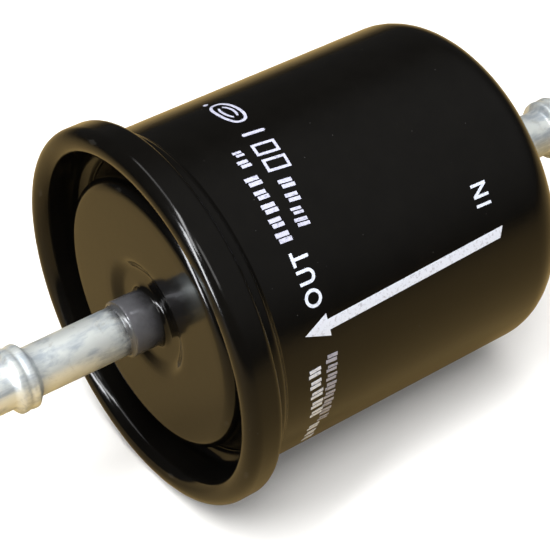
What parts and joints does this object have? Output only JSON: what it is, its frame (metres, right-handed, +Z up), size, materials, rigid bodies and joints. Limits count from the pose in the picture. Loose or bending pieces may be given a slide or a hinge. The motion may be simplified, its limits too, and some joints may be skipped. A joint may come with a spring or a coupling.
{
  "type": "in-line fuel filter",
  "caption": "Black metal can fuel filter with a rolled rim, a beaded hose stub at each end and a spring-loaded pleated paper element inside.",
  "frame": {"origin": "on the flow axis, in the middle of the can's length, at the centre of the plain wall that a clamp holds", "axes": "+X along the flow axis, from inlet to outlet; +Z up with the filter lying on its side"},
  "size_m": [0.123, 0.0628, 0.0628],
  "materials": {
    "black_paint": "gloss",
    "sealant": "satin",
    "zinc_plate": "satin zinc plating",
    "tinplate": "satin",
    "spring_steel": "satin",
    "potting": "matt",
    "filter_paper": "matt, resin-impregnated",
    "band": "matt",
    "nitrile": "satin",
    "strainer_plastic": "matt",
    "strainer_screen": "fine woven nylon"
  },
  "bodies": {
    "housing": {"can": "black_paint", "outlet_cover": "black_paint", "seam_sealant": "sealant", "inlet_pipe": "zinc_plate", "outlet_pipe": "zinc_plate", "inlet_braze": "black_paint", "outlet_braze": "black_paint", "spring_retainer": "tinplate", "element_spring": "spring_steel"},
    "element": {"inlet_end_cap": "tinplate", "inlet_adhesive": "potting", "paper_media": "filter_paper", "media_clip": "tinplate", "inlet_pleat_band": "band", "outlet_pleat_band": "band", "centre_tube": "tinplate", "outlet_adhesive": "potting", "outlet_end_cap": "tinplate", "seal_grommet": "nitrile", "strainer_frame": "strainer_plastic", "strainer_mesh": "strainer_screen"}
  },
  "joints": [
    {"name": "element_float", "type": "slide", "parent": "housing", "child": "element", "axis": [-1, 0, 0], "range_m": [0, 0.002], "stiffness_N_per_m": 1500, "springref_m": -0.006, "deforming": ["element_spring"]}
  ]
}
